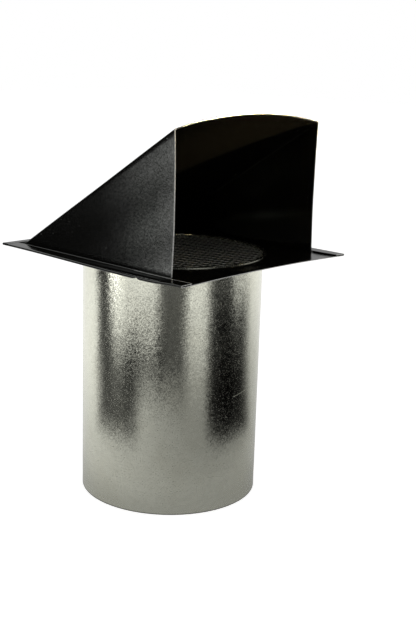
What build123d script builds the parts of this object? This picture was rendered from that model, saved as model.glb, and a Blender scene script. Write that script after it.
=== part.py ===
from build123d import *
import os
from math import atan2, cos, pi, sqrt, tan

# A hooded wall vent of sheet steel, in millimetres.
# The pieces are drawn with z = 0 at the back of the wall plate, which lies against the wall, and are
# then lifted so that the origin is on the pipe's axis at its open end. The hood's mouth faces -Y.

# Sheet and wire
BLACK_SHEET = 0.55
PIPE_SHEET = 0.5
WIRE = 0.7
MESH_PITCH = 6.35

# Pipe, sized to slide into a six inch duct
DUCT_DIAMETER = 152.4
PIPE_LENGTH = 208.2
LIP_WIDTH = 2.8
LIP_BEND = 0.5
BEAD_PLACE = 0.6
BEAD_DEPTH = 1.5
SEAM_WIDTH = 5.5
SEAM_HEIGHT = 0.9
SEAM_ANGLE = 62.0
SEAM_SLIT = 0.5
SEAM_BEVEL = 0.4

# Hood
HOOD_HEIGHT = 110.8
ARCH_RISE = 8.8
FOLD_RADIUS = 1.0
MOUTH_HEM = 5.0
SIDE_ROOM = 4.95
MOUTH_ROOM = 3.6
REAR_ROOM = 17.9

# Wall plate
FRONT_LEDGE = 24.0
SIDE_HEM = 11.2
REAR_HEM = 8.0
HEM_STANDOFF = 2.9
CORNER_RELIEF = 0.8
HEM_LINING_FLATS = 8

# Clearances
HOLE_CLEARANCE = 0.15
HEM_CLEARANCE = 0.25
FOOT_CLEARANCE = 0.5
SCREEN_CLEARANCE = 0.4
SCREEN_TURN = -15.0

# Places worked out from the sizes above
duct_radius = DUCT_DIAMETER / 2
pipe_inside = duct_radius - PIPE_SHEET
lip_radius = duct_radius + LIP_WIDTH
hole_radius = duct_radius + LIP_BEND + HOLE_CLEARANCE
plate_top = BLACK_SHEET
hood_half = lip_radius + SIDE_ROOM + BLACK_SHEET
mouth_y = -(lip_radius + MOUTH_ROOM)
rear_y = lip_radius + REAR_ROOM
plate_half = hood_half + HEM_STANDOFF + SIDE_HEM
plate_front = mouth_y - FRONT_LEDGE
plate_rear = rear_y + HEM_STANDOFF + REAR_HEM
hem_stack = 3 * BLACK_SHEET + HEM_CLEARANCE
hem_round = hem_stack / 2
roof_slope = atan2(HOOD_HEIGHT, rear_y - mouth_y)
arch_radius = (hood_half**2 + ARCH_RISE**2) / (2 * ARCH_RISE)


def box_between(low, high):
    """A box between its lowest and highest corners."""
    size = [b - a for a, b in zip(low, high)]
    return Pos(*low) * Box(*size, align=(Align.MIN, Align.MIN, Align.MIN))


def arch_height(x):
    """How far the arched roof stands above the mouth's top corners at this distance from the middle."""
    return sqrt(arch_radius**2 - x**2) - (arch_radius - ARCH_RISE)


def hood_wedge(inset):
    """The space under the roof, with its walls and roof moved in by the inset."""
    drop = inset / cos(roof_slope)
    half = hood_half - inset
    floor = plate_top - HOOD_HEIGHT
    crown = plate_top + HOOD_HEIGHT - drop
    corner = crown + arch_height(half)
    mouth = make_face(
        Polyline((-half, corner), (-half, floor), (half, floor), (half, corner))
        + ThreePointArc((half, corner), (0, crown + ARCH_RISE), (-half, corner))
    )
    foot = plate_top - drop
    rear = make_face(Polyline((-half, foot), (-half, floor), (half, floor), (half, foot), close=True))
    radius = FOLD_RADIUS + BLACK_SHEET - inset
    mouth_end = Pos(0, mouth_y, 0) * Rot(X=90) * round_top(mouth, radius)
    rear_end = Pos(0, rear_y, 0) * Rot(X=90) * round_top(rear, radius)
    return true_planes(loft([mouth_end, rear_end], ruled=True))


def round_top(face, radius):
    """Round the two top corners, where the roof folds down into the sides."""
    return fillet(face.vertices().sort_by(Axis.Y)[-2:], radius)


def true_planes(block):
    """The same block with a plane in place of each lofted face that is flat."""
    faces = [Face(face.outer_wire()) if face.is_planar else face for face in block.faces()]
    return Solid(Shell(faces))


def make_hood():
    """The folded hood: arched roof, two side panels, a hem round the mouth and three flat feet."""
    over_the_crown = plate_top + HOOD_HEIGHT + 2 * ARCH_RISE
    above_plate = box_between((-hood_half, mouth_y, plate_top), (hood_half, rear_y, over_the_crown))
    behind_hem = Pos(0, MOUTH_HEM, 0) * above_plate
    outside = hood_wedge(0) & above_plate
    inside = hood_wedge(BLACK_SHEET) & behind_hem
    inside_hem = hood_wedge(2 * BLACK_SHEET)
    return outside - inside - inside_hem + make_feet()


def make_feet():
    """The hood's flat feet, which the plate's hems grip."""
    foot_top = plate_top + BLACK_SHEET
    side_reach = plate_half - BLACK_SHEET - FOOT_CLEARANCE
    rear_reach = plate_rear - BLACK_SHEET - FOOT_CLEARANCE
    wall_inside = hood_half - BLACK_SHEET
    rear_inside = rear_y - (FOLD_RADIUS + BLACK_SHEET) / tan(roof_slope)
    left = box_between((-side_reach, mouth_y, plate_top), (-wall_inside, rear_y, foot_top))
    right = mirror(left, about=Plane.YZ)
    rear = box_between((-hood_half, rear_inside, plate_top), (hood_half, rear_reach, foot_top))
    return left + right + rear


def hem_profile(width):
    """The section of a folded edge: a half ring, and the flap that lies back over the foot.

    The inside of the fold can't be seen into, so it has flats in place of a curve.
    """
    ring = Circle(hem_round) - RegularPolygon(hem_round - BLACK_SHEET, HEM_LINING_FLATS)
    fold = ring & Pos(-hem_round, 0) * Rectangle(2 * hem_round, 2 * hem_round)
    flap_length = width - hem_round
    flap = Pos(flap_length / 2, hem_round - BLACK_SHEET / 2) * Rectangle(flap_length, BLACK_SHEET)
    return Pos(hem_round, hem_round) * (fold + flap)


def make_wall_plate():
    """The flat plate with its round hole, two side hems and a rear hem."""
    rear_flap = plate_rear - REAR_HEM
    side_end = rear_flap - CORNER_RELIEF
    fold_line = plate_half - hem_round
    middle = box_between((-fold_line, plate_front, 0), (fold_line, plate_rear - hem_round, BLACK_SHEET))
    tail = box_between((-plate_half, rear_flap, 0), (plate_half, plate_rear - hem_round, BLACK_SHEET))
    side_section = Plane((-plate_half, plate_front, 0), x_dir=(1, 0, 0), z_dir=(0, -1, 0))
    left = extrude(side_section * hem_profile(SIDE_HEM), -(side_end - plate_front))
    right = mirror(left, about=Plane.YZ)
    rear_section = Plane((-plate_half, plate_rear, 0), x_dir=(0, -1, 0), z_dir=(-1, 0, 0))
    rear = extrude(rear_section * hem_profile(REAR_HEM), -2 * plate_half)
    hole = Cylinder(hole_radius, 2 * hem_stack)
    return middle + tail + left + right + rear - hole


def make_duct_pipe():
    """The rolled pipe: a lip over the plate, an inward bead for the screen and a lock seam inside."""
    wall = duct_radius - PIPE_SHEET / 2
    lip_height = plate_top + PIPE_SHEET / 2
    crest_radius = wall - BEAD_DEPTH
    crest_height = -BEAD_PLACE - BEAD_DEPTH
    bead_bottom = crest_height - BEAD_DEPTH
    route = Polyline(
        (lip_radius, lip_height),
        (wall + LIP_BEND, lip_height),
        (wall, lip_height - LIP_BEND),
        (wall, -BEAD_PLACE),
        (crest_radius, crest_height),
        (wall, bead_bottom),
        (wall, -PIPE_LENGTH),
    )
    rolled = revolve(Rot(X=90) * trace(route, PIPE_SHEET), Axis.Z)
    seam_length = PIPE_LENGTH + bead_bottom - PIPE_SHEET
    pipe_end = Pos(0, 0, -PIPE_LENGTH)
    seam = extrude(pipe_end * seam_ridge(), seam_length)
    slit = extrude(pipe_end * seam_slit(), seam_length)
    return Rot(Z=SEAM_ANGLE) * (rolled + seam - slit)


def seam_ridge():
    """The section of the lock seam, which stands in from the wall so that the outside stays round."""
    ring = Circle(pipe_inside + PIPE_SHEET / 2) - Circle(pipe_inside - SEAM_HEIGHT)
    past_the_ring = 4 * SEAM_HEIGHT
    strip = Pos(pipe_inside, 0) * Rectangle(past_the_ring, SEAM_WIDTH)
    ridge = ring & strip
    corners = ridge.vertices().sort_by(Axis.X)[:2]
    return chamfer(corners, SEAM_BEVEL)


def seam_slit():
    """The fine groove outside, where one folded edge of the sheet meets the other."""
    return Pos(duct_radius, SEAM_WIDTH / 2) * Rectangle(PIPE_SHEET, SEAM_SLIT)


def make_bird_screen():
    """A disc of welded wire cloth: one layer of wires along, one layer across."""
    radius = pipe_inside - SCREEN_CLEARANCE
    count = int((radius - WIRE / 2) / MESH_PITCH)
    bead_shift = PIPE_SHEET / 2 * tan(pi / 8)
    floor = -BEAD_PLACE + bead_shift - SCREEN_CLEARANCE
    along = []
    for step in range(-count, count + 1):
        place = step * MESH_PITCH
        half = sqrt(radius**2 - (abs(place) + WIRE / 2) ** 2)
        along.append(box_between((-half, place - WIRE / 2, floor), (half, place + WIRE / 2, floor + WIRE)))
    across = [Pos(0, 0, WIRE) * Rot(Z=90) * wire for wire in along]
    screen = Part() + along + across
    return Rot(Z=SCREEN_TURN) * screen


lift = Pos(0, 0, PIPE_LENGTH)
parts = {
    "hood": lift * make_hood(),
    "wall_plate": lift * make_wall_plate(),
    "duct_pipe": lift * make_duct_pipe(),
    "bird_screen": lift * make_bird_screen(),
}
os.makedirs("parts", exist_ok=True)
for name, shape in parts.items():
    export_step(shape, f"parts/{name}.step")
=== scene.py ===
from collections import namedtuple
from math import cos, pi, radians, sin

import bmesh
import bpy
import numpy as np
from bpy.props import FloatProperty, FloatVectorProperty, PointerProperty
from mathutils import Matrix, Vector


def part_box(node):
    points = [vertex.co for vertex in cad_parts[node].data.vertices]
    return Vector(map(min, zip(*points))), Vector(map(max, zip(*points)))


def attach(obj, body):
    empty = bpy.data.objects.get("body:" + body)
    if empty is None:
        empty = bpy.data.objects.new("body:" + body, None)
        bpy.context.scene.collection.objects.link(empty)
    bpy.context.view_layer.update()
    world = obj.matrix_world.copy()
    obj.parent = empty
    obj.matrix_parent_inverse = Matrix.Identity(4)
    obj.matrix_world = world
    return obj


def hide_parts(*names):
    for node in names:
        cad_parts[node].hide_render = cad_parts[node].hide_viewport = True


bl_info = {
    "name": "Hooded wall vent",
    "version": (1, 0, 0),
    "blender": (4, 5, 0),
    "location": "3D View > Sidebar > Vent",
    "description": "Adds the sheet metal and wire of a hooded wall vent round its frame",
    "category": "Object",
}

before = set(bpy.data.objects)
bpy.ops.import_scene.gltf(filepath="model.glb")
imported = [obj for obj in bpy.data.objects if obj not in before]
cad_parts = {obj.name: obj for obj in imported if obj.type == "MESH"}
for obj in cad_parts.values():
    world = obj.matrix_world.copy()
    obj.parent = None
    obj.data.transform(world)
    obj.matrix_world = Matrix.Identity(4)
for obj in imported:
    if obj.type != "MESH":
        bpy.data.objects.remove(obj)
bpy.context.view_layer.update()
MM = 0.001
HOOD_LOW, HOOD_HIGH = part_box("hood")
PLATE_LOW, PLATE_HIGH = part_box("wall_plate")
PIPE_LOW, PIPE_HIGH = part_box("duct_pipe")
SCREEN_LOW, SCREEN_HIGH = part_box("bird_screen")
PIPE_RADIUS = 76.2 * MM
SCREEN_RADIUS = 75.3 * MM
SEAM_ANGLE = radians(62)
NOTCH_PLACE = -58 * MM

# Wear and painted highlights that only the materials show: bare metal, which on the hood's near rim and the
# left flap is partly a painted highlight, this far in from an edge, as far back as this along the left flap,
# and a scratch on the pipe's front, which climbs with x from its height at x = 0.
BARE_AND_HIGHLIGHT_WIDTH = 0.35 * MM
FLAP_BARE_AND_HIGHLIGHT_END = -45 * MM
SCRATCH_HEIGHT = 97.4 * MM
SCRATCH_SLOPE = 0.153
SCRATCH_START = -3 * MM
SCRATCH_END = 15 * MM

# Depths of the shallow dents in the roof and the sides, the width of the notch's bell curve, and how far
# forward of the pipe's axis the left hem's sag starts, is full, fades and ends
ROOF_DENT = 0.12 * MM
SIDE_DENT = 0.15 * MM
NOTCH_WIDTH = 1.8 * MM
SAG_START = -90 * MM
SAG_FULL = 60 * MM
SAG_FADE = 68 * MM
SAG_END = 104 * MM

# How close points are when they count as one, and how short an edge is when it is dropped
MERGE_DISTANCE = 2e-6
EMPTY_EDGE = 1e-7

# How many points follow each stretch of the hood's section and of the loop that carries it
ARCH_POINTS = 44
FOLD_POINTS = 7
SIDE_POINTS = 26
BEND_POINTS = 6
FOOT_POINTS = 4
REAR_FOOT_POINTS = 5
SLOPE_POINTS = 60
RIM_POINTS = 11
FLAP_POINTS = 7

# How many points follow the plate's edges, its rings and the section of a hem
SIDE_HEM_POINTS = 200
RELIEF_POINTS = 7
REAR_HEM_POINTS = 90
PLATE_RINGS = 30
HEM_ROUND_POINTS = 15
HEM_FLAP_POINTS = 8

# How many points follow the pipe's route and go round it, how many steps a wire takes from one crossing to
# the next, and how many sides it has
LIP_POINTS = 8
BEAD_POINTS = 25
WALL_POINTS = 90
ROUND_POINTS = 289
SEAM_POINTS = 41
PITCH_STEPS = 6
WIRE_SIDES = 9


def size_property(name, description, millimetres):
    """A length that a user may change, given in millimetres."""
    return FloatProperty(
        name=name, description=description, default=millimetres * MM, unit="LENGTH", precision=5
    )


def colour_property(name, description, colour):
    """A colour that a user may change."""
    return FloatVectorProperty(
        name=name, description=description, default=colour, subtype="COLOR", min=0, max=1
    )


class SheetSettings(bpy.types.PropertyGroup):
    """Sizes and paint shared by the hood and the wall plate."""

    sheet: size_property("Sheet", "Thickness of the black sheet", 0.55)
    side_hem: size_property("Side hem", "Width of the plate's side hems", 11.2)
    rear_hem: size_property("Rear hem", "Width of the plate's rear hem", 8.0)
    standoff: size_property("Standoff", "Gap between the hood and the hems", 2.9)
    paint: colour_property("Paint", "Colour of the black paint", (0.0018, 0.0018, 0.0015))


class HoodSettings(bpy.types.PropertyGroup):
    """Sizes of the folded hood."""

    arch_rise: size_property("Arch rise", "How far the roof's arch rises at the mouth", 8.8)
    fold_radius: size_property("Fold radius", "Outside radius where the roof folds into the sides", 1.55)
    foot_bend: size_property("Foot bend", "Outside radius where a side folds into its foot", 0.6)
    mouth_hem: size_property("Mouth hem", "Depth of the hem round the mouth", 5.0)
    side_bow: size_property("Side bow", "How far the side panels bow inwards at the mouth", 1.4)


class PlateSettings(bpy.types.PropertyGroup):
    """Sizes of the wall plate."""

    hole_gap: size_property("Hole gap", "Gap between the pipe's wall and the hole", 0.65)
    corner_relief: size_property("Corner relief", "Gap between a side hem's end and the rear hem", 0.8)
    front_bow: size_property("Front bow", "How far the middle of the front edge is bent up", 1.7)
    side_sag: size_property("Side sag", "How far the left hem is bent down near the mouth", 1.6)
    notch: size_property("Notch", "Depth of the small notch in the left hem's fold", 0.9)


class PipeSettings(bpy.types.PropertyGroup):
    """Sizes and finish of the duct pipe."""

    sheet: size_property("Sheet", "Thickness of the galvanised sheet", 0.5)
    lip_width: size_property("Lip width", "How far the lip stands out over the plate", 2.8)
    bead_depth: size_property("Bead depth", "How far the screen's bead stands in", 1.5)
    bead_height: size_property("Bead height", "Height of the screen's bead", 3.0)
    bead_place: size_property("Bead place", "Depth of the bead's upper edge below the plate's back", 0.6)
    seam_width: size_property("Seam width", "Width of the lock seam", 5.5)
    seam_height: size_property("Seam height", "How far the seam stands inside", 0.9)
    zinc: colour_property("Zinc", "Colour of the galvanised sheet", (0.85, 0.855, 0.73))


class ScreenSettings(bpy.types.PropertyGroup):
    """Sizes of the bird screen."""

    pitch: size_property("Pitch", "Distance from wire to wire", 6.35)
    turn: FloatProperty(
        name="Turn", description="Angle of the wires to the mouth", default=radians(-15), subtype="ANGLE"
    )
    # The wires' zinc is much darker than the pipe's, partly as painted shade of the hood over the screen
    zinc: colour_property("Wire zinc", "Colour of the wire's coating", (0.30, 0.30, 0.27))


class StageSettings(bpy.types.PropertyGroup):
    """Camera and light."""

    azimuth: FloatProperty(
        name="Azimuth", description="Direction that the camera stands in", default=radians(-47.22),
        subtype="ANGLE",
    )
    pitch: FloatProperty(
        name="Pitch", description="How far the camera looks down", default=radians(14.22), subtype="ANGLE"
    )
    roll: FloatProperty(
        name="Roll", description="How far the camera is turned about its line of sight",
        default=radians(1.796), subtype="ANGLE",
    )
    lens: FloatProperty(
        name="Lens", description="Focal length on a 36 mm sensor", default=60.755, subtype="DISTANCE_CAMERA"
    )
    place: FloatVectorProperty(
        name="Place", description="Where the camera stands", default=(-0.62889, -0.62436, 0.37779),
        subtype="TRANSLATION",
    )


def hood_half():
    """Half the hood's width: the plate's half width less its hem and the gap."""
    sheet = bpy.context.scene.vent_sheet
    return PLATE_HIGH.x - sheet.side_hem - sheet.standoff


def smoothstep(low, high, value):
    """0 below low, 1 above high, and 3t^2 - 2t^3 between them."""
    share = np.clip((value - low) / (high - low), 0, 1)
    return share * share * (3 - 2 * share)


def ripple(place, pace, start=0.0):
    """A slow wave with this many radians to the metre, from this start."""
    return np.sin(place * pace + start)


def grid_faces(rows, columns, close_rows=False, close_columns=False, offset=0):
    """Quads between neighbours on a grid of points, the last row or column joined to the first if asked."""
    row = np.arange(rows if close_rows else rows - 1)[:, None]
    column = np.arange(columns if close_columns else columns - 1)[None, :]
    next_row = (row + 1) % rows
    next_column = (column + 1) % columns
    corners = (row * columns + column, row * columns + next_column,
               next_row * columns + next_column, next_row * columns + column)
    return np.stack([c.reshape(-1) for c in corners], axis=1) + offset


def piece_from(name, grids, material, node, sharp):
    """One piece from grids of points, each given as (points, close_rows, close_columns).

    Edges that turn by more than the sharp angle, in degrees, keep a hard crease.
    """
    points = []
    faces = []
    count = 0
    for grid, close_rows, close_columns in grids:
        rows, columns = grid.shape[:2]
        faces.append(grid_faces(rows, columns, close_rows, close_columns, count))
        points.append(grid.reshape(-1, 3))
        count += rows * columns
    points = np.concatenate(points).astype(np.float32)
    faces = np.concatenate(faces).astype(np.int32)
    mesh = bpy.data.meshes.new(name)
    mesh.vertices.add(len(points))
    mesh.vertices.foreach_set("co", points.reshape(-1))
    mesh.loops.add(faces.size)
    mesh.loops.foreach_set("vertex_index", faces.reshape(-1))
    mesh.polygons.add(len(faces))
    mesh.polygons.foreach_set("loop_start", np.arange(0, faces.size, 4, dtype=np.int32))
    mesh.update(calc_edges=True)
    close_up(mesh, sharp)
    mesh.materials.append(material)
    piece = bpy.data.objects.new(name, mesh)
    bpy.context.scene.collection.objects.link(piece)
    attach(piece, "root")
    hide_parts(node)
    return piece


def close_up(mesh, sharp):
    """Merge doubled points, drop empty faces, turn the normals out and mark the sharp edges."""
    body = bmesh.new()
    body.from_mesh(mesh)
    bmesh.ops.remove_doubles(body, verts=body.verts, dist=MERGE_DISTANCE)
    bmesh.ops.dissolve_degenerate(body, edges=body.edges, dist=EMPTY_EDGE)
    bmesh.ops.recalc_face_normals(body, faces=body.faces)
    for face in body.faces:
        face.smooth = True
    for edge in body.edges:
        if len(edge.link_faces) == 2 and edge.calc_face_angle(0) > radians(sharp):
            edge.smooth = False
    body.to_mesh(mesh)
    body.free()
    mesh.update()


def hood_section(y, inset):
    """The hood's section at each depth y and inset from its outer face.

    Half the section is the roof's arch from the middle out, a fold, the straight side, a bend and the
    foot. The roof is a ruled surface: its height falls in a straight line from the mouth to the rear,
    and its arch, a circle of the mouth's width and rise, flattens with it. It runs out softly into the
    rear foot. The side bows inwards by half a sine wave. The other half is its mirror image.
    """
    sheet = bpy.context.scene.vent_sheet
    hood = bpy.context.scene.vent_hood
    half_width = hood_half()
    mouth = HOOD_LOW.y
    rear = PLATE_HIGH.y - sheet.rear_hem - sheet.standoff
    plate_top = PLATE_LOW.z + sheet.sheet
    height = HOOD_HIGH.z - hood.arch_rise - plate_top
    run_out = 0.5 * MM
    y = y[:, None]
    inset = inset[:, None]
    fall = np.clip((y - mouth) / (rear - mouth), 0, 1)
    slope = height / (rear - mouth)
    drop = inset * np.sqrt(1 + slope * slope)
    foot = plate_top + np.maximum(sheet.sheet - inset, 0)
    half = half_width - inset
    circle = (half_width**2 + hood.arch_rise**2) / (2 * hood.arch_rise)

    def roof(x):
        arch = np.sqrt(circle**2 - x**2) - (circle - hood.arch_rise)
        plain = plate_top + (height + arch) * (1 - fall) - drop
        dents = ROOF_DENT * ripple(x, 55, 0.6) * ripple(y, 47, 1.9) * fall * (1 - fall) * 4
        gap = plain + dents - foot
        return foot + 0.5 * (gap + np.sqrt(gap**2 + run_out**2))

    edge = roof(half)
    side = edge - foot
    room = 0.45 * side
    fold = np.minimum(hood.fold_radius - inset * 0.8, room)
    bend = np.minimum(hood.foot_bend + np.minimum(inset, sheet.sheet) - sheet.sheet * 0.5, room)
    arch_x = (half - fold) * np.sin(np.linspace(0, pi / 2, ARCH_POINTS))[None, :]
    arch_z = roof(arch_x)
    turn = np.linspace(0, pi / 2, FOLD_POINTS)[None, 1:]
    fold_x = half - fold + fold * np.sin(turn)
    fold_z = roof(half - fold) - fold + fold * np.cos(turn)
    up = np.linspace(1, 0, SIDE_POINTS)[None, 1:-1]
    top = roof(half - fold) - fold
    side_z = foot + bend + (top - foot - bend) * up
    side_x = half + 0 * up
    turn = np.linspace(0, pi / 2, BEND_POINTS)[None, :]
    bend_x = half + bend - bend * np.cos(turn)
    bend_z = foot + bend - bend * np.sin(turn)
    reach = np.linspace(0, 1, FOOT_POINTS)[None, 1:]
    foot_x = half + bend + (HOOD_HIGH.x - half - bend) * reach
    foot_z = foot + 0 * reach
    x = np.concatenate([arch_x, fold_x, side_x, bend_x, foot_x], axis=1)
    z = np.concatenate([arch_z, fold_z, side_z, bend_z, foot_z], axis=1)
    x = x - side_give(x, y, z, (z - foot) / np.maximum(side, 1e-6), half, fall)
    left = np.stack([-x[:, ::-1], np.broadcast_to(y, x.shape), z[:, ::-1]], axis=2)
    right = np.stack([x, np.broadcast_to(y, x.shape), z], axis=2)
    return np.concatenate([left, right[:, 1:]], axis=1)


def side_give(x, y, z, share, half, fall):
    """How far each point of a side gives inwards: the bow, and shallow dents.

    The share is the point's height between the foot and the roof, and the bow dies out with the fall.
    """
    share = np.clip(share, 0, 1)
    edge_width = 3 * MM
    on_side = np.clip((x - half + edge_width) / edge_width, 0, 1)
    swell = np.sin(pi * share)
    bow = bpy.context.scene.vent_hood.side_bow * swell * (1 - fall) ** 1.5
    dents = SIDE_DENT * np.sin(y * 61 + z * 38) * ripple(z, 71, 0.7) * swell
    return (bow + dents) * on_side * (share > 0) * (share < 1)


def hood_path():
    """The depth and inset of the loop round the hood's sheet.

    It runs along the outer face from the rear to the mouth, round the folded rim, back along the hem's
    flap, over the flap's end and along the inner face to the rear.
    """
    sheet = bpy.context.scene.vent_sheet
    thick = sheet.sheet
    mouth = HOOD_LOW.y
    slope_end = PLATE_HIGH.y - sheet.rear_hem - sheet.standoff
    foot_end = slope_end + 3 * MM
    spread = np.sin(np.linspace(0, pi / 2, SLOPE_POINTS))
    run = np.concatenate([np.linspace(HOOD_HIGH.y, foot_end, REAR_FOOT_POINTS)[:-1],
                          foot_end + (mouth + thick - foot_end) * spread])
    turn = np.linspace(0, pi, RIM_POINTS)[1:-1]
    rim_y = mouth + thick - thick * np.sin(turn)
    rim_inset = thick - thick * np.cos(turn)
    flap_end = mouth + bpy.context.scene.vent_hood.mouth_hem
    flap_y = np.linspace(mouth + thick, flap_end, FLAP_POINTS)
    lap_y = [flap_end + 0.02 * MM, flap_end + 0.2 * MM]
    lap_inset = [1.15 * thick, thick]
    inner = run[run > flap_end + 0.3 * MM][::-1]
    y = np.concatenate([run, rim_y, flap_y, lap_y, inner])
    inset = np.concatenate([0 * run, rim_inset, 0 * flap_y + 2 * thick, lap_inset, 0 * inner + thick])
    return y, inset


def add_hood():
    """The hood's sheet: its section carried along the loop of depths and insets, closed at the feet."""
    skin = hood_section(*hood_path())
    tips = skin[:, [0, -1]].copy()
    tips[:, :, 2] = PLATE_LOW.z + 1.5 * bpy.context.scene.vent_sheet.sheet
    skin = np.concatenate([tips[:, :1], skin, tips[:, 1:]], axis=1)
    side = -hood_half()
    # The near rim's light metal line is partly rubbed paint and partly a painted highlight
    near_rim_bare_and_highlight = ((side - MM, HOOD_LOW.y - MM, PLATE_HIGH.z),
                (side + 2 * MM, HOOD_LOW.y + BARE_AND_HIGHLIGHT_WIDTH, HOOD_HIGH.z))
    material = black_paint("hood_paint", roughness=0.13, specular=1.0, bare_and_highlight_edges=[near_rim_bare_and_highlight])
    piece_from("hood_sheet", [(skin, True, False)], material, "hood", sharp=50)


def plate_outline(half, front, rear, hem_end):
    """Points round the plate's flat part, from the front right corner round by the rear and the left."""
    sides = np.concatenate([np.linspace(front, hem_end, SIDE_HEM_POINTS),
                            np.linspace(hem_end, rear, RELIEF_POINTS)[1:]])
    across = np.linspace(half, -half, REAR_HEM_POINTS)
    right = np.stack([0 * sides + half, sides], axis=1)[:-1]
    back = np.stack([across, 0 * across + rear], axis=1)[:-1]
    left = np.stack([0 * sides - half, sides[::-1]], axis=1)[:-1]
    ahead = np.stack([across[::-1], 0 * across + front], axis=1)[:-1]
    return np.concatenate([right, back, left, ahead]), sides, across


def hem_loop(width, stack, thick):
    """A hem's section: out along the outer skin of the half round and the flap, and back inside it.

    Distances are measured out from the fold line and up from the plate's back.
    """
    outer = stack / 2
    turn = np.linspace(0, pi, HEM_ROUND_POINTS)
    flap = np.linspace(0, outer - width, HEM_FLAP_POINTS)[1:]
    skin = np.concatenate([np.stack([outer * np.sin(turn), outer - outer * np.cos(turn)], axis=1),
                           np.stack([flap, 0 * flap + stack], axis=1)])
    inner = outer - thick
    lining = np.concatenate([np.stack([inner * np.sin(turn), outer - inner * np.cos(turn)], axis=1),
                             np.stack([flap, 0 * flap + stack - thick], axis=1)])
    return skin, lining


def bend_plate(points):
    """Bend the front ledge up in its middle and the left hem down near the mouth, and notch that hem's fold.

    The ledge's bend is a parabola across the plate. The hem's is a smooth step out from the hood times
    smooth steps along it, and the notch is a bell curve along the fold, which it also presses flat.
    """
    plate = bpy.context.scene.vent_plate
    x, y, z = points[..., 0], points[..., 1], points[..., 2]
    bow_half = PLATE_HIGH.x * 0.96
    across = (x / bow_half) ** 2
    ledge = HOOD_LOW.y - 4 * MM
    ahead = smoothstep(0, 1, (ledge - y) / (ledge - PLATE_LOW.y))
    left = smoothstep(hood_half() + 2 * MM, PLATE_HIGH.x, -x)
    near_mouth = smoothstep(SAG_START, SAG_FULL, -y) * (1 - smoothstep(SAG_FADE, SAG_END, -y))
    bell = np.exp(-(((y - NOTCH_PLACE) / NOTCH_WIDTH) ** 2))
    fold = smoothstep(PLATE_HIGH.x - 3 * MM, PLATE_HIGH.x - MM, -x)
    pressed = 0.75 * (PLATE_HIGH.z - z) * bell * fold
    bow = plate.front_bow * ahead * (1 - across).clip(0, 1)
    bent = points.copy()
    bent[..., 0] = x + plate.notch * bell * fold
    bent[..., 2] = z + bow - plate.side_sag * left * near_mouth + pressed
    return bent


def add_plate():
    """The plate: flat rings from the hole out to the outline, top and back, and hems along three sides."""
    sheet = bpy.context.scene.vent_sheet
    plate = bpy.context.scene.vent_plate
    thick = sheet.sheet
    back = PLATE_LOW.z
    stack = PLATE_HIGH.z - back
    fold = stack / 2
    half = PLATE_HIGH.x - fold
    rear = PLATE_HIGH.y - fold
    hem_end = PLATE_HIGH.y - sheet.rear_hem - plate.corner_relief
    hole = PIPE_HIGH.x - bpy.context.scene.vent_pipe.lip_width + plate.hole_gap
    outline, sides, across = plate_outline(half, PLATE_LOW.y, rear, hem_end)
    angle = np.arctan2(outline[:, 1], outline[:, 0])
    ring = hole * np.stack([np.cos(angle), np.sin(angle)], axis=1)
    share = np.linspace(0, 1, PLATE_RINGS)[:, None, None]
    flat = ring[None] + (outline - ring)[None] * share

    def level(height):
        return np.concatenate([flat, np.full(flat.shape[:2] + (1,), height)], axis=2)

    grids = [(level(back + thick), False, True), (level(back)[:, ::-1], False, True)]
    rim = np.stack([level(back)[0], level(back + thick)[0]])
    grids.append((rim, False, True))
    tiny = 1e-9
    front = outline[:, 1] <= PLATE_LOW.y + tiny
    edge = np.stack([level(back)[-1][front], level(back + thick)[-1][front]])
    grids.append((edge[:, np.argsort(edge[0, :, 0])], False, False))
    skin, lining = hem_loop(sheet.side_hem, stack, thick)
    loop = np.concatenate([skin, lining[::-1]])
    run = sides[sides <= hem_end + tiny]
    relief = sides[sides >= hem_end - tiny]
    for side in (1, -1):
        grids += carried(loop, run, lambda out, up, along: (side * (half + out), along, back + up))
        corner = np.array([[(side * half, v, back), (side * half, v, back + thick)] for v in relief])
        grids.append((corner, False, False))
    skin, lining = hem_loop(sheet.rear_hem, stack, thick)
    loop = np.concatenate([skin, lining[::-1]])
    grids += carried(loop, across, lambda out, up, along: (along, rear + out, back + up))
    grids = [(bend_plate(grid), rows, columns) for grid, rows, columns in grids]
    material = black_paint("plate_paint", roughness=0.16, specular=0.45, bare_and_highlight_edges=plate_wear_and_highlights())
    piece_from("plate_sheet", grids, material, "wall_plate", sharp=50)


def plate_wear_and_highlights():
    """Boxes round the plate's bare metal: the left flap's edge near the mouth, which is partly a painted
    highlight, the front edge, the notch.
    """
    sheet = bpy.context.scene.vent_sheet
    flap = PLATE_LOW.x + sheet.side_hem
    top = PLATE_LOW.z + sheet.sheet
    # The band on the left flap near the mouth is partly bare metal and partly a painted highlight
    flap_bare_and_highlight = ((flap - 2 * BARE_AND_HIGHLIGHT_WIDTH, PLATE_LOW.y, top), (flap + MM, FLAP_BARE_AND_HIGHLIGHT_END, PLATE_HIGH.z + MM))
    cut_edge = ((PLATE_LOW.x, PLATE_LOW.y - MM, PLATE_LOW.z - MM),
                (PLATE_HIGH.x, PLATE_LOW.y + 0.15 * MM, PLATE_HIGH.z + 3 * MM))
    notch = ((PLATE_LOW.x - MM, NOTCH_PLACE - MM, PLATE_LOW.z),
             (PLATE_LOW.x + MM, NOTCH_PLACE + MM, PLATE_HIGH.z))
    return [flap_bare_and_highlight, cut_edge, notch]


def carried(loop, run, place):
    """A section carried along a straight run, with both ends closed."""
    out = loop[:, 0][:, None] + 0 * run[None]
    up = loop[:, 1][:, None] + 0 * run[None]
    along = run[None] + 0 * loop[:, 0][:, None]
    body = np.stack(place(out, up, along), axis=2)
    count = len(loop) // 2
    ends = []
    for index in (0, -1):
        ends.append((np.stack([body[:count, index], body[count:, index][::-1]]), False, False))
    return [(body, False, False)] + ends


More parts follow.
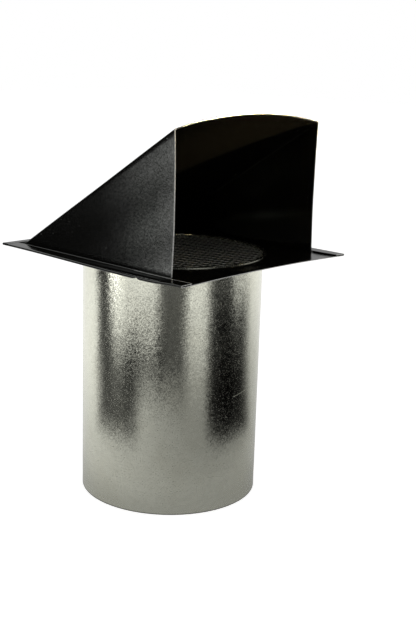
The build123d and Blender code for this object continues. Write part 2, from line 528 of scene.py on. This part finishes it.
def pipe_route():
    """The pipe's middle line, as radius and height, from the lip's edge to the open end.

    The lip turns down round a small arc, and the screen's bead is one wave of a cosine.
    """
    pipe = bpy.context.scene.vent_pipe
    sheet = bpy.context.scene.vent_sheet
    back = PLATE_LOW.z
    wall = PIPE_HIGH.x - pipe.lip_width - pipe.sheet / 2
    lip = back + sheet.sheet + pipe.sheet / 2
    bend = 0.6 * MM
    turn = np.linspace(0, pi / 2, LIP_POINTS)
    lip_run = np.linspace(PIPE_HIGH.x, wall + bend, LIP_POINTS)[:-1]
    bead_top = back - pipe.bead_place
    wave = np.linspace(0, 1, BEAD_POINTS)
    bead = pipe.bead_depth * (0.5 - 0.5 * np.cos(2 * pi * wave)) ** 0.8
    run = np.linspace(bead_top - pipe.bead_height, PIPE_LOW.z, WALL_POINTS)[1:]
    radius = np.concatenate([lip_run, wall + bend - bend * np.sin(turn), wall - bead, 0 * run + wall])
    height = np.concatenate([0 * lip_run + lip, lip - bend + bend * np.cos(turn),
                             bead_top - wave * pipe.bead_height, run])
    return radius, height


Wave = namedtuple("Wave", "depth turns pace start")

# Waves of the pipe's wall: depth in millimetres, turns about the axis, and radians to the metre along it
PIPE_WAVES = (
    Wave(depth=0.05, turns=5, pace=0, start=1.1),
    Wave(depth=0.035, turns=9, pace=21, start=0.4),
    Wave(depth=0.03, turns=14, pace=-34, start=2.0),
    Wave(depth=0.03, turns=2, pace=95, start=0.0),
)


def add_pipe():
    """The pipe's wall: its middle line offset half a sheet each way and turned about the axis.

    Slow waves move the wall in and out as rolling and handling leave it. The lock seam is a ridge on the
    inner face, with a fine groove outside where the sheet's edge lies.
    """
    pipe = bpy.context.scene.vent_pipe
    radius, height = pipe_route()
    run = np.stack([radius, height], axis=1)
    along = np.gradient(run, axis=0)
    along /= np.linalg.norm(along, axis=1)[:, None]
    normal = np.stack([along[:, 1], -along[:, 0]], axis=1)
    half = pipe.sheet / 2
    inner = run + normal * half
    outer = run - normal * half
    loop = np.concatenate([outer, inner[::-1]])
    is_inner = np.concatenate([0 * radius, 0 * radius + 1])[:, None]
    wall = PIPE_HIGH.x - pipe.lip_width
    reach = 0.5 * pipe.seam_width / wall
    near_seam = SEAM_ANGLE + np.linspace(-1.4 * reach, 1.4 * reach, SEAM_POINTS)
    angle = np.unique(np.concatenate([np.linspace(0, 2 * pi, ROUND_POINTS)[:-1], near_seam]))[None, :]
    r = loop[:, 0][:, None] + 0 * angle
    z = loop[:, 1][:, None] + 0 * angle
    below_lip = smoothstep(0, 20 * MM, PIPE_HIGH.z - 8 * MM - z)
    above_end = smoothstep(0, 14 * MM, z)
    waves = sum(w.depth * np.sin(w.turns * angle + w.pace * z + w.start) for w in PIPE_WAVES)
    at_end = 0.35
    r = r + waves * MM * below_lip * (at_end + (1 - at_end) * above_end)
    below_bead = smoothstep(0, 2 * MM, PLATE_LOW.z - 9 * MM - z)
    turn = angle - SEAM_ANGLE
    foot, top = 1.15 * reach, 0.85 * reach
    ridge = smoothstep(-foot, -top, turn) * (1 - smoothstep(top, foot, turn))
    r = r - is_inner * ridge * pipe.seam_height * below_bead
    groove_width, groove_depth = 0.3 * MM, 0.35 * MM
    groove = np.exp(-(((turn - reach) * wall) / groove_width) ** 2)
    r = r - (1 - is_inner) * groove * groove_depth * below_bead
    skin = np.stack([r * np.cos(angle), r * np.sin(angle), z], axis=2)
    material = galvanised("pipe_zinc", pipe.zinc, roughness=0.11)
    piece_from("pipe_wall", [(skin, True, True)], material, "duct_pipe", sharp=60)


def add_screen():
    """The screen's wires: circles carried along lines in two layers, swollen by zinc where they cross.

    Each wire sways a little to one side, by a chance amount, and wavers along its length. The layers are
    pressed slightly into each other, as welding leaves them.
    """
    screen = bpy.context.scene.vent_screen
    wire = (SCREEN_HIGH.z - SCREEN_LOW.z) / 4
    count = int((SCREEN_RADIUS - wire) / screen.pitch)
    place = np.arange(-count, count + 1) * screen.pitch
    half = np.sqrt(SCREEN_RADIUS**2 - (np.abs(place) + wire) ** 2)
    stations = np.linspace(-1, 1, 2 * count * PITCH_STEPS + 1)
    lengths = half[:, None] * stations[None, :]
    nearest = np.abs(lengths - np.round(lengths / screen.pitch) * screen.pitch)
    zinc_reach = 0.8 * wire
    swell = 1 + 0.16 * np.exp(-((nearest / zinc_reach) ** 2))
    rng = np.random.default_rng(7)
    most_sway, waver = 0.10 * MM, 0.05 * MM
    sway = most_sway * rng.uniform(-1, 1, (len(place), 1)) * np.cos(pi * stations / 2)[None, :]
    sway = sway + waver * ripple(lengths, 130, rng.uniform(0, 6, (len(place), 1)))
    turn = np.linspace(0, 2 * pi, WIRE_SIDES + 1)[:-1]
    thick = wire * 0.86 * swell
    thick[:, [0, -1]] = 0
    across = place[:, None] + sway
    pressed = 0.06 * wire
    grids = []
    for layer in (0, 1):
        level = SCREEN_LOW.z + wire * (1 + 2 * layer) + pressed * (1 - 2 * layer)
        a = lengths[:, :, None] + 0 * turn
        b = across[:, :, None] + thick[:, :, None] * np.cos(turn)
        c = level + thick[:, :, None] * np.sin(turn)
        if layer:
            a, b = -b, a
        x = a * cos(screen.turn) - b * sin(screen.turn)
        y = a * sin(screen.turn) + b * cos(screen.turn)
        for index in range(len(place)):
            grids.append((np.stack([x[index], y[index], c[index]], axis=2), False, True))
    # The wires' dark zinc colour is partly painted shade of the hood over the screen
    material = galvanised("wire_zinc_and_shade", screen.zinc, roughness=0.45)
    piece_from("screen_wires", grids, material, "bird_screen", sharp=80)


def new_material(name):
    """An empty node material with a shader and the piece's own coordinates."""
    material = bpy.data.materials.new(name)
    material.use_nodes = True
    tree = material.node_tree
    tree.nodes.clear()
    output = tree.nodes.new("ShaderNodeOutputMaterial")
    shader = tree.nodes.new("ShaderNodeBsdfPrincipled")
    tree.links.new(shader.outputs[0], output.inputs[0])
    place = tree.nodes.new("ShaderNodeTexCoord")
    return material, tree, shader, place.outputs["Object"]


def noise(tree, place, size, detail=2.0, rough=0.5, stretch=None):
    """Soft random values with features about this many metres across."""
    if stretch:
        mapping = tree.nodes.new("ShaderNodeMapping")
        mapping.inputs["Scale"].default_value = stretch
        tree.links.new(place, mapping.inputs[0])
        place = mapping.outputs[0]
    node = tree.nodes.new("ShaderNodeTexNoise")
    node.inputs["Scale"].default_value = 1 / size
    node.inputs["Detail"].default_value = detail
    node.inputs["Roughness"].default_value = rough
    tree.links.new(place, node.inputs["Vector"])
    return node.outputs["Fac"]


def calc(tree, operation, *values):
    """One sum with numbers or sockets."""
    node = tree.nodes.new("ShaderNodeMath")
    node.operation = operation
    for index, value in enumerate(values):
        feed(tree, value, node.inputs[index])
    return node.outputs[0]


def vector_calc(tree, operation, *values):
    """One sum with vectors, given as numbers or sockets."""
    node = tree.nodes.new("ShaderNodeVectorMath")
    node.operation = operation
    for index, value in enumerate(values):
        feed(tree, value, node.inputs[index])
    return node.outputs[0]


def feed(tree, value, socket):
    """Put a number or a link into a socket."""
    if isinstance(value, bpy.types.NodeSocket):
        tree.links.new(value, socket)
    else:
        socket.default_value = value


def span(tree, value, low, high, to_low, to_high, smooth=False):
    """Map one range of values to another, held at its ends."""
    node = tree.nodes.new("ShaderNodeMapRange")
    node.interpolation_type = "SMOOTHSTEP" if smooth else "LINEAR"
    for index, item in enumerate((value, low, high, to_low, to_high)):
        feed(tree, item, node.inputs[index])
    return node.outputs[0]


def mixed(tree, share, first, second):
    """Blend two colours by a share."""
    node = tree.nodes.new("ShaderNodeMix")
    node.data_type = "RGBA"
    colours = [socket for socket in node.inputs if socket.type == "RGBA"]
    feed(tree, share, node.inputs[0])
    for item, socket in zip((first, second), colours):
        feed(tree, item, socket)
    return [socket for socket in node.outputs if socket.type == "RGBA"][0]


def bump(tree, height, depth, strength=1.0, normal=None):
    """A bump that is this deep, in metres, where the height goes from 0 to 1."""
    node = tree.nodes.new("ShaderNodeBump")
    node.inputs["Strength"].default_value = strength
    node.inputs["Distance"].default_value = depth
    tree.links.new(height, node.inputs["Height"])
    if normal:
        tree.links.new(normal, node.inputs["Normal"])
    return node.outputs[0]


def tilted(tree, place, normal, size, amount):
    """A normal that each small grain of the coating tilts its own way.

    The grains are about this many metres across, and their random colours less a half are the tilts.
    """
    grains = tree.nodes.new("ShaderNodeTexVoronoi")
    grains.inputs["Scale"].default_value = 1 / size
    tree.links.new(place, grains.inputs["Vector"])
    tilt = vector_calc(tree, "SUBTRACT", grains.outputs["Color"], (0.5, 0.5, 0.5))
    tilt = vector_calc(tree, "MULTIPLY", tilt, (amount, amount, amount))
    return vector_calc(tree, "NORMALIZE", vector_calc(tree, "ADD", normal, tilt))


def shade(colour, factor):
    """A colour made darker or lighter, with full alpha."""
    return (colour[0] * factor, colour[1] * factor, colour[2] * factor, 1.0)


def within(tree, place, low, high):
    """1 inside a box and 0 outside, from its lowest and highest corners."""
    split = tree.nodes.new("ShaderNodeSeparateXYZ")
    tree.links.new(place, split.inputs[0])
    inside = 1.0
    for axis in range(3):
        middle = (low[axis] + high[axis]) / 2
        away = calc(tree, "ABSOLUTE", calc(tree, "SUBTRACT", split.outputs[axis], middle))
        inside = calc(tree, "MULTIPLY", calc(tree, "LESS_THAN", away, (high[axis] - low[axis]) / 2), inside)
    return inside


# Sizes of what the coatings show: slow waves, grain, dust, spangle, dull patches and brushed rings, and how
# far their grains tilt
WAVE_SIZE = 35 * MM
PAINT_GRAIN = 1.1 * MM
DUST_SIZE = 2.2 * MM
PAINT_TILT = 0.022
SPANGLE_SIZE = 2.8 * MM
ZINC_GRAIN = 0.8 * MM
PATCH_SIZE = 30 * MM
BRUSH_SIZE = 20 * MM
ZINC_TILT = 0.07

PAINT_IOR = 1.7
PAINT_TINT = (0.97, 1.0, 0.95, 1)
# Light bare metal, which on the hood's near rim and the plate's left flap is partly a painted highlight
BARE_STEEL_AND_HIGHLIGHT = (0.72, 0.72, 0.69, 1)
DUST = (0.05, 0.05, 0.045, 1)
# Painted shade inside the pipe below the screen
INSIDE_SHADE = (0.05, 0.05, 0.045, 1)
# Painted contact shade along the pipe's bottom edge, where it stands on the floor
CONTACT_SHADE = (0.08, 0.08, 0.07, 1)


def black_paint(name, roughness, specular, bare_and_highlight_edges):
    """Baked black paint: fine tilted grains, faint slow waves, specks of dust, and light metal on edges:
    rubbed bare, and on some edges also a painted highlight.

    Each bare edge is a box, given by its lowest and highest corners, and its light metal colour shows in
    patches.
    """
    paint = bpy.context.scene.vent_sheet.paint
    material, tree, shader, place = new_material(name)
    slow = noise(tree, place, WAVE_SIZE)
    grain = noise(tree, place, PAINT_GRAIN, 3.0, 0.6)
    dust = span(tree, noise(tree, place, DUST_SIZE, 1.0), 0.76, 0.82, 0, 1)
    cool = shade(paint, 0.85)
    warm = shade((paint[0] * 1.06, paint[1], paint[2] * 0.92), 1.15)
    colour = mixed(tree, dust, mixed(tree, slow, cool, warm), DUST)
    patches = span(tree, grain, 0.35, 0.6, 0.35, 1)
    # On the hood's near rim and the left flap this light metal colour is partly a painted highlight
    for low, high in bare_and_highlight_edges:
        rubbed_and_highlight = calc(tree, "MULTIPLY", within(tree, place, low, high), patches)
        colour = mixed(tree, rubbed_and_highlight, colour, BARE_STEEL_AND_HIGHLIGHT)
    worn = span(tree, grain, 0.3, 0.7, roughness * 0.9, roughness * 1.15)
    worn = calc(tree, "ADD", worn, calc(tree, "MULTIPLY", dust, 0.2))
    waves = bump(tree, slow, 0.08 * MM)
    tree.links.new(colour, shader.inputs["Base Color"])
    tree.links.new(worn, shader.inputs["Roughness"])
    tree.links.new(tilted(tree, place, waves, 0.8 * MM, PAINT_TILT), shader.inputs["Normal"])
    shader.inputs["Specular Tint"].default_value = PAINT_TINT
    shader.inputs["Specular IOR Level"].default_value = specular
    shader.inputs["IOR"].default_value = PAINT_IOR
    return material


def galvanised(name, zinc, roughness):
    """Hot dipped zinc: metal with a fine spangle, tilted grains, duller flecks and faint brushed rings.

    The same coating carries painted shade inside the pipe below the screen and painted contact shade along
    the pipe's bottom edge, and is rubbed dull along one short scratch.
    """
    material, tree, shader, place = new_material(name)
    cells = tree.nodes.new("ShaderNodeTexVoronoi")
    cells.inputs["Scale"].default_value = 1 / SPANGLE_SIZE
    tree.links.new(place, cells.inputs["Vector"])
    spangle = tree.nodes.new("ShaderNodeSeparateColor")
    tree.links.new(cells.outputs["Color"], spangle.inputs[0])
    grain = noise(tree, place, ZINC_GRAIN, 1.0)
    patch = noise(tree, place, PATCH_SIZE, 3.0)
    brushed = noise(tree, place, BRUSH_SIZE, 3.0, 0.6, (1, 1, 16))
    tone = calc(tree, "MULTIPLY", spangle.outputs[0], 0.3)
    tone = calc(tree, "ADD", tone, calc(tree, "MULTIPLY", brushed, 0.7))
    colour = mixed(tree, tone, shade(zinc, 0.84), shade(zinc, 1.06))
    aged = shade((zinc[0], zinc[1] * 0.98, zinc[2] * 0.93), 0.8)
    colour = mixed(tree, span(tree, patch, 0.45, 0.75, 0, 0.35), colour, aged)
    shade_inside, contact_shade, scratch = pipe_wear_and_shade(tree, place)
    # Painted shade inside the pipe below the screen, then painted contact shade at its bottom edge
    colour = mixed(tree, calc(tree, "MULTIPLY", shade_inside, 0.55), colour, INSIDE_SHADE)
    colour = mixed(tree, calc(tree, "MULTIPLY", contact_shade, 0.8), colour, CONTACT_SHADE)
    dull = span(tree, patch, 0.3, 0.8, roughness * 0.85, roughness * 1.25)
    dull = calc(tree, "ADD", dull, span(tree, grain, 0.55, 0.72, 0, 0.24))
    dull = calc(tree, "ADD", dull, calc(tree, "MULTIPLY", scratch, 0.5))
    dull = calc(tree, "ADD", dull, calc(tree, "MULTIPLY", spangle.outputs[1], 0.06))
    fine = bump(tree, grain, 0.03 * MM)
    tree.links.new(colour, shader.inputs["Base Color"])
    tree.links.new(dull, shader.inputs["Roughness"])
    tree.links.new(tilted(tree, place, fine, 0.7 * MM, ZINC_TILT), shader.inputs["Normal"])
    shader.inputs["Metallic"].default_value = 1.0
    return material


def pipe_wear_and_shade(tree, place):
    """Shares from 0 to 1 of the painted shade inside the pipe, of the painted contact shade along its bottom
    edge and of the scratch.
    """
    split = tree.nodes.new("ShaderNodeSeparateXYZ")
    tree.links.new(place, split.inputs[0])
    x, y, z = split.outputs
    radius = from_axis(tree, x, y)
    # Painted shade inside the pipe below the screen
    inside = span(tree, radius, PIPE_RADIUS - 0.35 * MM, PIPE_RADIUS - 0.25 * MM, 1, 0)
    below = span(tree, z, SCREEN_LOW.z - 2 * MM, SCREEN_LOW.z - MM, 1, 0)
    shade_inside = calc(tree, "MULTIPLY", inside, below)
    # Painted contact shade along the bottom edge, where the pipe stands on the floor
    contact_shade = span(tree, z, 0.5 * MM, MM, 1, 0)
    above = calc(tree, "SUBTRACT", z, SCRATCH_HEIGHT)
    away = calc(tree, "ABSOLUTE", calc(tree, "SUBTRACT", above, calc(tree, "MULTIPLY", x, SCRATCH_SLOPE)))
    front = within(tree, place, (SCRATCH_START, -0.08, 0), (SCRATCH_END, -0.05, 0.2))
    scratch = calc(tree, "MULTIPLY", span(tree, away, 0.15 * MM, 0.3 * MM, 1, 0), front)
    return shade_inside, contact_shade, scratch


def from_axis(tree, x, y):
    """The distance from the pipe's axis."""
    squares = calc(tree, "ADD", calc(tree, "MULTIPLY", x, x), calc(tree, "MULTIPLY", y, y))
    return calc(tree, "SQRT", squares)


ENDLESS = 90.0
Flag = namedtuple("Flag", "azimuth half soft dark near full fade gone", defaults=(0, 0, ENDLESS, ENDLESS))

# Dark cloths that shiny surfaces see in the white studio. Azimuth, half width and soft edge are in
# degrees about the pipe's axis, with 0 towards -Y and 90 towards +X. A cloth on the floor starts between
# the distances near and full and, unless it is endless, ends between fade and gone, in metres. One with
# a dark below 0 is a card that is brighter than the floor. A cloth of the room hangs near the horizon.
FLOOR_FLAGS = (
    Flag(azimuth=-134, half=10, soft=9, dark=0.92, near=0.28, full=0.55, fade=0.88, gone=1.02),
    Flag(azimuth=-110, half=27, soft=9, dark=0.90, near=0.20, full=0.27, fade=0.39, gone=0.80),
    Flag(azimuth=-78, half=24, soft=6, dark=0.98, near=0.33, full=0.48, fade=0.46, gone=0.80),
    Flag(azimuth=-44, half=17, soft=6, dark=0.88, near=0.33, full=0.46),
    Flag(azimuth=17, half=17, soft=6, dark=0.93, near=0.22, full=0.27, fade=1.15, gone=2.40),
    Flag(azimuth=35, half=25, soft=15, dark=0.98, near=0.20, full=0.24, fade=0.60, gone=1.30),
    Flag(azimuth=-141, half=12, soft=4, dark=0.99, near=0.80, full=0.92),
    Flag(azimuth=-121, half=9, soft=5, dark=-1.7, near=0.90, full=1.06),
)
ROOM_FLAGS = (
    Flag(azimuth=-138, half=24, soft=5, dark=0.99),
    Flag(azimuth=-44, half=17, soft=6, dark=0.88),
    Flag(azimuth=25, half=22, soft=10, dark=0.95),
)

# How bright the room is for plain light, and between which heights of a direction its cloths end
ROOM_PLAIN = 0.55
CLOTH_LOW = 0.35
CLOTH_HIGH = 0.6

# The white floor: its paper, and the lift that makes it white for the camera
PAPER = (0.8, 0.8, 0.8, 1)
PAPER_LIFT = 0.68

# The table that shiny surfaces see under the vent, in metres: it is dark at its front and light at its
# rear, darkened close to the pipe by a painted shade, and runs out into an open floor that dims far away.
TABLE_FRONT = -0.34
TABLE_REAR = 0.50
TABLE_SHADE_END = 0.14
OPEN_START = 0.03
OPEN_FULL = 1.16
FAR_START = 1.1
FAR_END = 2.8


def under_flags(tree, place, flags):
    """How bright the studio looks from the vent: 1, and less under each flag.

    A flag's share is a smooth step in the cosine of the angle from its azimuth, times smooth steps in and
    out with the distance from the axis. A flag without distances belongs to the room and ends with the
    height instead. Returns the brightness, the distance, and the place's y and z.
    """
    split = tree.nodes.new("ShaderNodeSeparateXYZ")
    tree.links.new(place, split.inputs[0])
    x, y, z = split.outputs
    distance = from_axis(tree, x, y)
    bright = 1.0
    for flag in flags:
        a = radians(flag.azimuth)
        toward = calc(tree, "SUBTRACT", calc(tree, "MULTIPLY", x, sin(a)), calc(tree, "MULTIPLY", y, cos(a)))
        aligned = calc(tree, "DIVIDE", toward, distance)
        outer = cos(radians(flag.half + flag.soft))
        inner = cos(radians(flag.half - flag.soft))
        inside = span(tree, aligned, outer, inner, 0, flag.dark, True)
        if flag.full:
            reached = span(tree, distance, flag.near, flag.full, 0, 1, True)
        else:
            reached = span(tree, z, CLOTH_LOW, CLOTH_HIGH, 1, 0, True)
        inside = calc(tree, "MULTIPLY", inside, reached)
        if flag.fade < ENDLESS:
            inside = calc(tree, "MULTIPLY", inside, span(tree, distance, flag.fade, flag.gone, 1, 0, True))
        bright = calc(tree, "MULTIPLY", calc(tree, "SUBTRACT", 1.0, inside), bright)
    return bright, distance, y, z


def add_world():
    """White all round for the camera, even grey for plain light, and dark flags in a white room for gloss.

    For gloss the room is dimmer towards the horizon.
    """
    world = bpy.data.worlds.new("studio")
    bpy.context.scene.world = world
    world.use_nodes = True
    tree = world.node_tree
    tree.nodes.clear()
    output = tree.nodes.new("ShaderNodeOutputWorld")
    place = tree.nodes.new("ShaderNodeTexCoord").outputs["Generated"]
    bright, _, _, height = under_flags(tree, place, ROOM_FLAGS)
    path = tree.nodes.new("ShaderNodeLightPath")
    bright = calc(tree, "MULTIPLY", bright, span(tree, height, 0.1, 0.6, 0.45, 1.0, True))
    above_plain = calc(tree, "SUBTRACT", bright, ROOM_PLAIN)
    level = calc(tree, "MULTIPLY", path.outputs["Is Glossy Ray"], above_plain)
    level = calc(tree, "ADD", level, ROOM_PLAIN)
    seen = calc(tree, "MAXIMUM", path.outputs["Is Camera Ray"], level)
    shader = tree.nodes.new("ShaderNodeBackground")
    shader.inputs["Color"].default_value = (1, 1, 1, 1)
    tree.links.new(seen, shader.inputs["Strength"])
    tree.links.new(shader.outputs[0], output.inputs[0])


def either_shader(tree, share, first, second):
    """The first shader where the share is 0 and the second where it is 1."""
    node = tree.nodes.new("ShaderNodeMixShader")
    tree.links.new(share, node.inputs[0])
    tree.links.new(first, node.inputs[1])
    tree.links.new(second, node.inputs[2])
    return node.outputs[0]


def gloss_level(tree, place):
    """How bright the floor looks to shiny surfaces: the table, the open floor round it and the flags."""
    bright, distance, y, _ = under_flags(tree, place, FLOOR_FLAGS)
    lengthwise = span(tree, y, TABLE_FRONT, TABLE_REAR, 0.05, 1.0)
    # Painted shade on the table round the pipe's foot, as shiny surfaces see it
    painted_shade_round_pipe = span(tree, distance, PIPE_RADIUS, TABLE_SHADE_END, 0.80, 1.0, True)
    table = calc(tree, "MULTIPLY", lengthwise, painted_shade_round_pipe)
    open_floor = span(tree, distance, OPEN_START, OPEN_FULL, 0, 1, True)
    level = calc(tree, "ADD", table, calc(tree, "MULTIPLY", open_floor, calc(tree, "SUBTRACT", 1.0, table)))
    level = calc(tree, "MULTIPLY", level, span(tree, distance, FAR_START, FAR_END, 1.0, 0.38, True))
    shut = span(tree, distance, PIPE_RADIUS - 2 * MM, PIPE_RADIUS + MM, 0.02, 1)
    return calc(tree, "MULTIPLY", shut, calc(tree, "MULTIPLY", bright, level))


def floor_material():
    """A white floor: plain paper lifted to white for the camera, a table with dark flags for gloss.

    It can't be seen from below, and almost no light comes up into the pipe.
    """
    material = bpy.data.materials.new("floor_paper")
    material.use_nodes = True
    tree = material.node_tree
    tree.nodes.clear()
    output = tree.nodes.new("ShaderNodeOutputMaterial")
    place = tree.nodes.new("ShaderNodeTexCoord").outputs["Object"]
    level = gloss_level(tree, place)
    paper = tree.nodes.new("ShaderNodeBsdfDiffuse")
    paper.inputs["Color"].default_value = PAPER
    lift = tree.nodes.new("ShaderNodeEmission")
    lift.inputs["Strength"].default_value = PAPER_LIFT
    white = tree.nodes.new("ShaderNodeAddShader")
    tree.links.new(paper.outputs[0], white.inputs[0])
    tree.links.new(lift.outputs[0], white.inputs[1])
    gloss = tree.nodes.new("ShaderNodeEmission")
    tree.links.new(level, gloss.inputs["Strength"])
    path = tree.nodes.new("ShaderNodeLightPath").outputs
    plain = either_shader(tree, path["Is Camera Ray"], paper.outputs[0], white.outputs[0])
    lit = either_shader(tree, path["Is Glossy Ray"], plain, gloss.outputs[0])
    backfacing = tree.nodes.new("ShaderNodeNewGeometry").outputs["Backfacing"]
    clear = tree.nodes.new("ShaderNodeBsdfTransparent")
    one_sided = either_shader(tree, backfacing, lit, clear.outputs[0])
    tree.links.new(one_sided, output.inputs[0])
    return material


def add_floor():
    """A wide flat sheet under the pipe."""
    reach = 6.0
    mesh = bpy.data.meshes.new("floor")
    corners = [(-reach, -reach, 0), (reach, -reach, 0), (reach, reach, 0), (-reach, reach, 0)]
    mesh.from_pydata(corners, [], [(0, 1, 2, 3)])
    mesh.materials.append(floor_material())
    floor = bpy.data.objects.new("floor", mesh)
    bpy.context.scene.collection.objects.link(floor)


def add_lamp(name, place, target, side, power, spread, colour):
    """A square soft lamp that faces a target and shines only as widely as its spread, in degrees."""
    data = bpy.data.lights.new(name, "AREA")
    data.shape = "SQUARE"
    data.size = side
    data.energy = power
    data.spread = radians(spread)
    data.color = colour
    lamp = bpy.data.objects.new(name, data)
    bpy.context.scene.collection.objects.link(lamp)
    out = np.array(place, float) - np.array(target, float)
    out /= np.linalg.norm(out)
    right = np.cross((0, 0, 1), out)
    right /= np.linalg.norm(right)
    turn = Matrix([right, np.cross(out, right), out]).transposed().to_4x4()
    lamp.matrix_world = Matrix.Translation(place) @ turn


def add_camera():
    """The camera: right, up and forward directions worked out from azimuth, pitch and roll."""
    stage = bpy.context.scene.vent_stage
    a, e, roll = stage.azimuth, stage.pitch, stage.roll
    forward = np.array([-sin(a) * cos(e), cos(a) * cos(e), -sin(e)])
    level = np.array([cos(a), sin(a), 0])
    upright = np.cross(level, forward)
    right = cos(roll) * level + sin(roll) * upright
    up = -sin(roll) * level + cos(roll) * upright
    data = bpy.data.cameras.new("camera")
    data.lens = stage.lens
    data.sensor_width = 36
    data.clip_start = 0.01
    camera = bpy.data.objects.new("camera", data)
    bpy.context.scene.collection.objects.link(camera)
    turn = Matrix([right, up, -forward]).transposed().to_4x4()
    camera.matrix_world = Matrix.Translation(stage.place) @ turn
    bpy.context.scene.camera = camera


class VENT_OT_hood(bpy.types.Operator):
    """Add the hood's folded sheet"""

    bl_idname = "vent.add_hood"
    bl_label = "Hood"

    def execute(self, context):
        add_hood()
        return {"FINISHED"}


class VENT_OT_plate(bpy.types.Operator):
    """Add the wall plate's hemmed sheet"""

    bl_idname = "vent.add_plate"
    bl_label = "Wall plate"

    def execute(self, context):
        add_plate()
        return {"FINISHED"}


class VENT_OT_pipe(bpy.types.Operator):
    """Add the rolled duct pipe"""

    bl_idname = "vent.add_pipe"
    bl_label = "Duct pipe"

    def execute(self, context):
        add_pipe()
        return {"FINISHED"}


class VENT_OT_screen(bpy.types.Operator):
    """Add the bird screen's wires"""

    bl_idname = "vent.add_screen"
    bl_label = "Bird screen"

    def execute(self, context):
        add_screen()
        return {"FINISHED"}


class VENT_OT_stage(bpy.types.Operator):
    """Add the floor, the lamp, the room's light and the camera"""

    bl_idname = "vent.add_stage"
    bl_label = "Stage"

    def execute(self, context):
        add_floor()
        add_world()
        add_lamp("front_right_lamp", place=(0.9, -0.9, 0.34), target=(0, 0, 0.365), side=0.10, power=0.85,
                 spread=11, colour=(1.0, 0.78, 0.45))
        add_camera()
        bpy.context.scene.view_settings.view_transform = "Standard"
        return {"FINISHED"}


OPERATORS = (VENT_OT_hood, VENT_OT_plate, VENT_OT_pipe, VENT_OT_screen, VENT_OT_stage)


class VENT_PT_panel(bpy.types.Panel):
    """The vent's pieces and their settings"""

    bl_idname = "VENT_PT_panel"
    bl_label = "Hooded wall vent"
    bl_space_type = "VIEW_3D"
    bl_region_type = "UI"
    bl_category = "Vent"

    def draw(self, context):
        for operator in OPERATORS:
            self.layout.operator(operator.bl_idname)
        for name in GROUPS:
            group = getattr(context.scene, name)
            for prop in type(group).bl_rna.properties:
                if prop.identifier not in ("rna_type", "name"):
                    self.layout.prop(group, prop.identifier)


GROUPS = {
    "vent_sheet": SheetSettings,
    "vent_hood": HoodSettings,
    "vent_plate": PlateSettings,
    "vent_pipe": PipeSettings,
    "vent_screen": ScreenSettings,
    "vent_stage": StageSettings,
}


def register():
    for name, group in GROUPS.items():
        bpy.utils.register_class(group)
        setattr(bpy.types.Scene, name, PointerProperty(type=group))
    for operator in OPERATORS:
        bpy.utils.register_class(operator)
    bpy.utils.register_class(VENT_PT_panel)


def unregister():
    bpy.utils.unregister_class(VENT_PT_panel)
    for operator in reversed(OPERATORS):
        bpy.utils.unregister_class(operator)
    for name, group in reversed(GROUPS.items()):
        delattr(bpy.types.Scene, name)
        bpy.utils.unregister_class(group)


def main():
    register()
    bpy.ops.vent.add_hood()
    bpy.ops.vent.add_plate()
    bpy.ops.vent.add_pipe()
    bpy.ops.vent.add_screen()
    bpy.ops.vent.add_stage()


if __name__ == "__main__":
    main()
